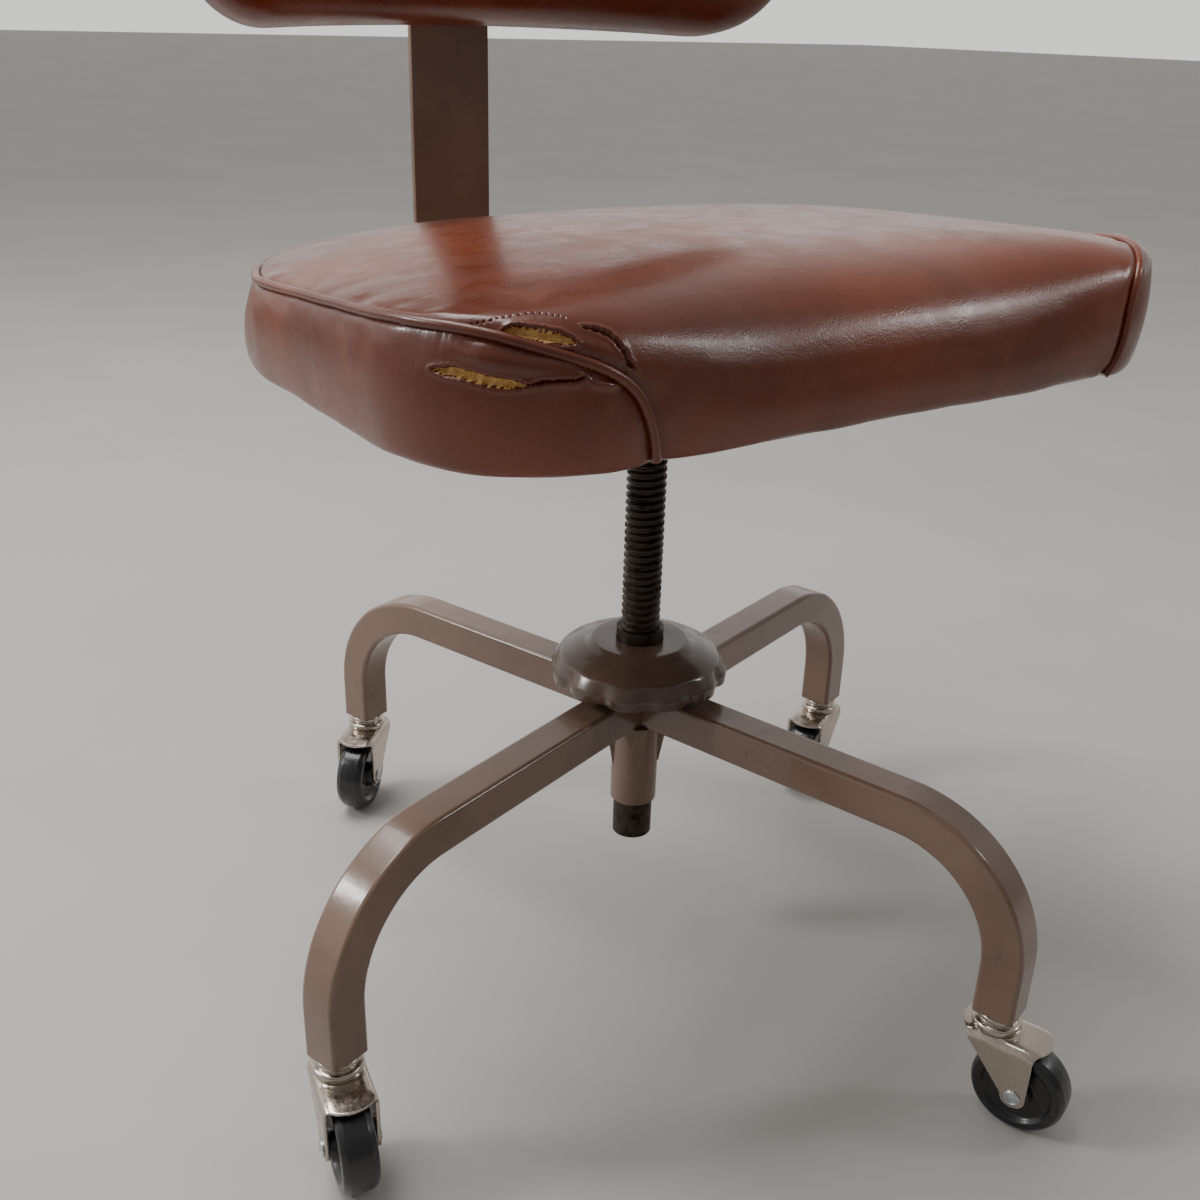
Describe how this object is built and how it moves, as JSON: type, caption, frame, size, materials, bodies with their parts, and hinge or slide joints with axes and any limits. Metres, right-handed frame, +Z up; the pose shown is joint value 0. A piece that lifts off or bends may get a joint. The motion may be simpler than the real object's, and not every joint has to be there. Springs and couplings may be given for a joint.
{
  "type": "swivel desk chair",
  "caption": "Armless swivel chair: screw-lift seat with a scalloped handwheel, four-leg square-tube base on casters, adjustable curved backrest.",
  "frame": {"origin": "on the floor, under the swivel axis", "axes": "+Z up along the swivel axis, -Y towards the seat's front edge, +X to the sitter's left"},
  "size_m": [0.5603, 0.5863, 0.806],
  "materials": {
    "taupe_enamel": "gloss enamel, chipped and rubbed at the edges",
    "oiled_screw": "dark oiled steel thread",
    "caster_nickel": "warm nickel plate with light tarnish",
    "bright_zinc": "zinc-plated fasteners",
    "bearing_steel": "ground and greased",
    "wheel_black": "moulded phenolic, scuffed on the tread",
    "bronze": "sintered bronze",
    "knob_black": "moulded phenolic",
    "brown_vinyl": "glossy reddish-brown vinyl with fine creases",
    "plywood": "raw plywood",
    "dust_cloth": "black cambric"
  },
  "bodies": {
    "base": {"leg_right": "taupe_enamel", "leg_front": "taupe_enamel", "leg_left": "taupe_enamel", "leg_rear": "taupe_enamel", "hub_tube": "taupe_enamel", "hub_gussets": "taupe_enamel", "caster_sockets": "bearing_steel", "caster_stems": "caster_nickel", "caster_caps": "caster_nickel", "caster_balls": "bearing_steel", "bearing_lower_race": "bearing_steel", "bearing_balls": "bearing_steel"},
    "bearing_upper_race": {"bearing_upper_race": "bearing_steel"},
    "handwheel": {"lift_nut": "taupe_enamel", "handwheel": "taupe_enamel", "handwheel_grub_screw": "bright_zinc"},
    "spindle_guide": {"spindle_guide": "oiled_screw"},
    "seat": {"lift_screw": "oiled_screw", "guide_washer": "bright_zinc", "guide_bolt": "bright_zinc", "spindle_socket": "taupe_enamel", "socket_cross_pin": "bright_zinc", "seat_plate": "taupe_enamel", "seat_washers": "bright_zinc", "seat_bolts": "bright_zinc", "seat_tnuts": "bright_zinc", "seat_board": "plywood", "seat_dust_cover": "dust_cloth", "seat_pad": "brown_vinyl", "back_bar_guide": "taupe_enamel"},
    "depth_knob": {"depth_knob": "knob_black", "depth_knob_stud": "bright_zinc"},
    "back_bar": {"back_bar": "taupe_enamel"},
    "back_carriage": {"back_saddle": "taupe_enamel", "back_clamp_plate": "taupe_enamel", "back_pivot_pin": "bright_zinc"},
    "height_knob": {"height_knob": "knob_black", "height_knob_stud": "bright_zinc"},
    "backrest": {"backrest_bracket": "taupe_enamel", "backrest_screws": "bright_zinc", "backrest_board": "plywood", "backrest_rear_cover": "brown_vinyl", "backrest_pad": "brown_vinyl"},
    "caster_right": {"caster_right_fork": "caster_nickel", "caster_right_axle": "bright_zinc"},
    "caster_right_roller": {"caster_right_bushing": "bronze", "caster_right_wheel": "wheel_black"},
    "caster_front": {"caster_front_fork": "caster_nickel", "caster_front_axle": "bright_zinc"},
    "caster_front_roller": {"caster_front_bushing": "bronze", "caster_front_wheel": "wheel_black"},
    "caster_left": {"caster_left_fork": "caster_nickel", "caster_left_axle": "bright_zinc"},
    "caster_left_roller": {"caster_left_bushing": "bronze", "caster_left_wheel": "wheel_black"},
    "caster_rear": {"caster_rear_fork": "caster_nickel", "caster_rear_axle": "bright_zinc"},
    "caster_rear_roller": {"caster_rear_bushing": "bronze", "caster_rear_wheel": "wheel_black"}
  },
  "joints": [
    {"name": "swivel", "type": "hinge", "parent": "base", "child": "bearing_upper_race", "pos_m": [0, 0, 0.2], "axis": [0, 0, 1], "continuous": true},
    {"name": "seat_height", "type": "slide", "parent": "bearing_upper_race", "child": "seat", "axis": [0, 0, 1], "range_m": [-0.06, 0.09]},
    {"name": "handwheel_turn", "type": "hinge", "parent": "bearing_upper_race", "child": "handwheel", "pos_m": [0, 0, 0.22], "axis": [0, 0, 1], "range_deg": [-6450, 4320]},
    {"name": "guide_turn", "type": "hinge", "parent": "seat", "child": "spindle_guide", "pos_m": [0, 0, 0.1], "axis": [0, 0, 1], "continuous": true},
    {"name": "back_depth", "type": "slide", "parent": "seat", "child": "back_bar", "axis": [0, 1, 0], "range_m": [-0.025, 0.025]},
    {"name": "depth_knob_turn", "type": "hinge", "parent": "seat", "child": "depth_knob", "pos_m": [0, 0.115, 0.405], "axis": [0, 0, 1], "range_deg": [0, 720]},
    {"name": "back_height", "type": "slide", "parent": "back_bar", "child": "back_carriage", "axis": [0, 0, 1], "range_m": [-0.025, 0.04]},
    {"name": "height_knob_turn", "type": "hinge", "parent": "back_carriage", "child": "height_knob", "pos_m": [0, 0.27, 0.698], "axis": [0, 1, 0], "range_deg": [0, 720]},
    {"name": "back_tilt", "type": "hinge", "parent": "back_carriage", "child": "backrest", "pos_m": [0, 0.2354, 0.698], "axis": [1, 0, 0], "range_deg": [-10, 10]},
    {"name": "caster_right_swivel", "type": "hinge", "parent": "base", "child": "caster_right", "pos_m": [-0.26008, -0.083, 0.07], "axis": [0, 0, 1], "continuous": true},
    {"name": "caster_right_roll", "type": "hinge", "parent": "caster_right", "child": "caster_right_roller", "pos_m": [-0.26378, -0.10316, 0.0286], "axis": [0.9836, -0.1805, 0], "continuous": true},
    {"name": "caster_front_swivel", "type": "hinge", "parent": "base", "child": "caster_front", "pos_m": [0.083, -0.26008, 0.07], "axis": [0, 0, 1], "continuous": true},
    {"name": "caster_front_roll", "type": "hinge", "parent": "caster_front", "child": "caster_front_roller", "pos_m": [0.09015, -0.27929, 0.0286], "axis": [0.9373, 0.3486, 0], "continuous": true},
    {"name": "caster_left_swivel", "type": "hinge", "parent": "base", "child": "caster_left", "pos_m": [0.26008, 0.083, 0.07], "axis": [0, 0, 1], "continuous": true},
    {"name": "caster_left_roll", "type": "hinge", "parent": "caster_left", "child": "caster_left_roller", "pos_m": [0.24121, 0.07499, 0.0286], "axis": [0.3907, -0.9205, 0], "continuous": true},
    {"name": "caster_rear_swivel", "type": "hinge", "parent": "base", "child": "caster_rear", "pos_m": [-0.083, 0.26008, 0.07], "axis": [0, 0, 1], "continuous": true},
    {"name": "caster_rear_roll", "type": "hinge", "parent": "caster_rear", "child": "caster_rear_roller", "pos_m": [-0.09775, 0.24584, 0.0286], "axis": [0.6947, -0.7193, 0], "continuous": true}
  ],
  "couplings": [
    {"joint": "handwheel_turn", "follows": "seat_height", "rad_per_m": -1236.8}
  ]
}
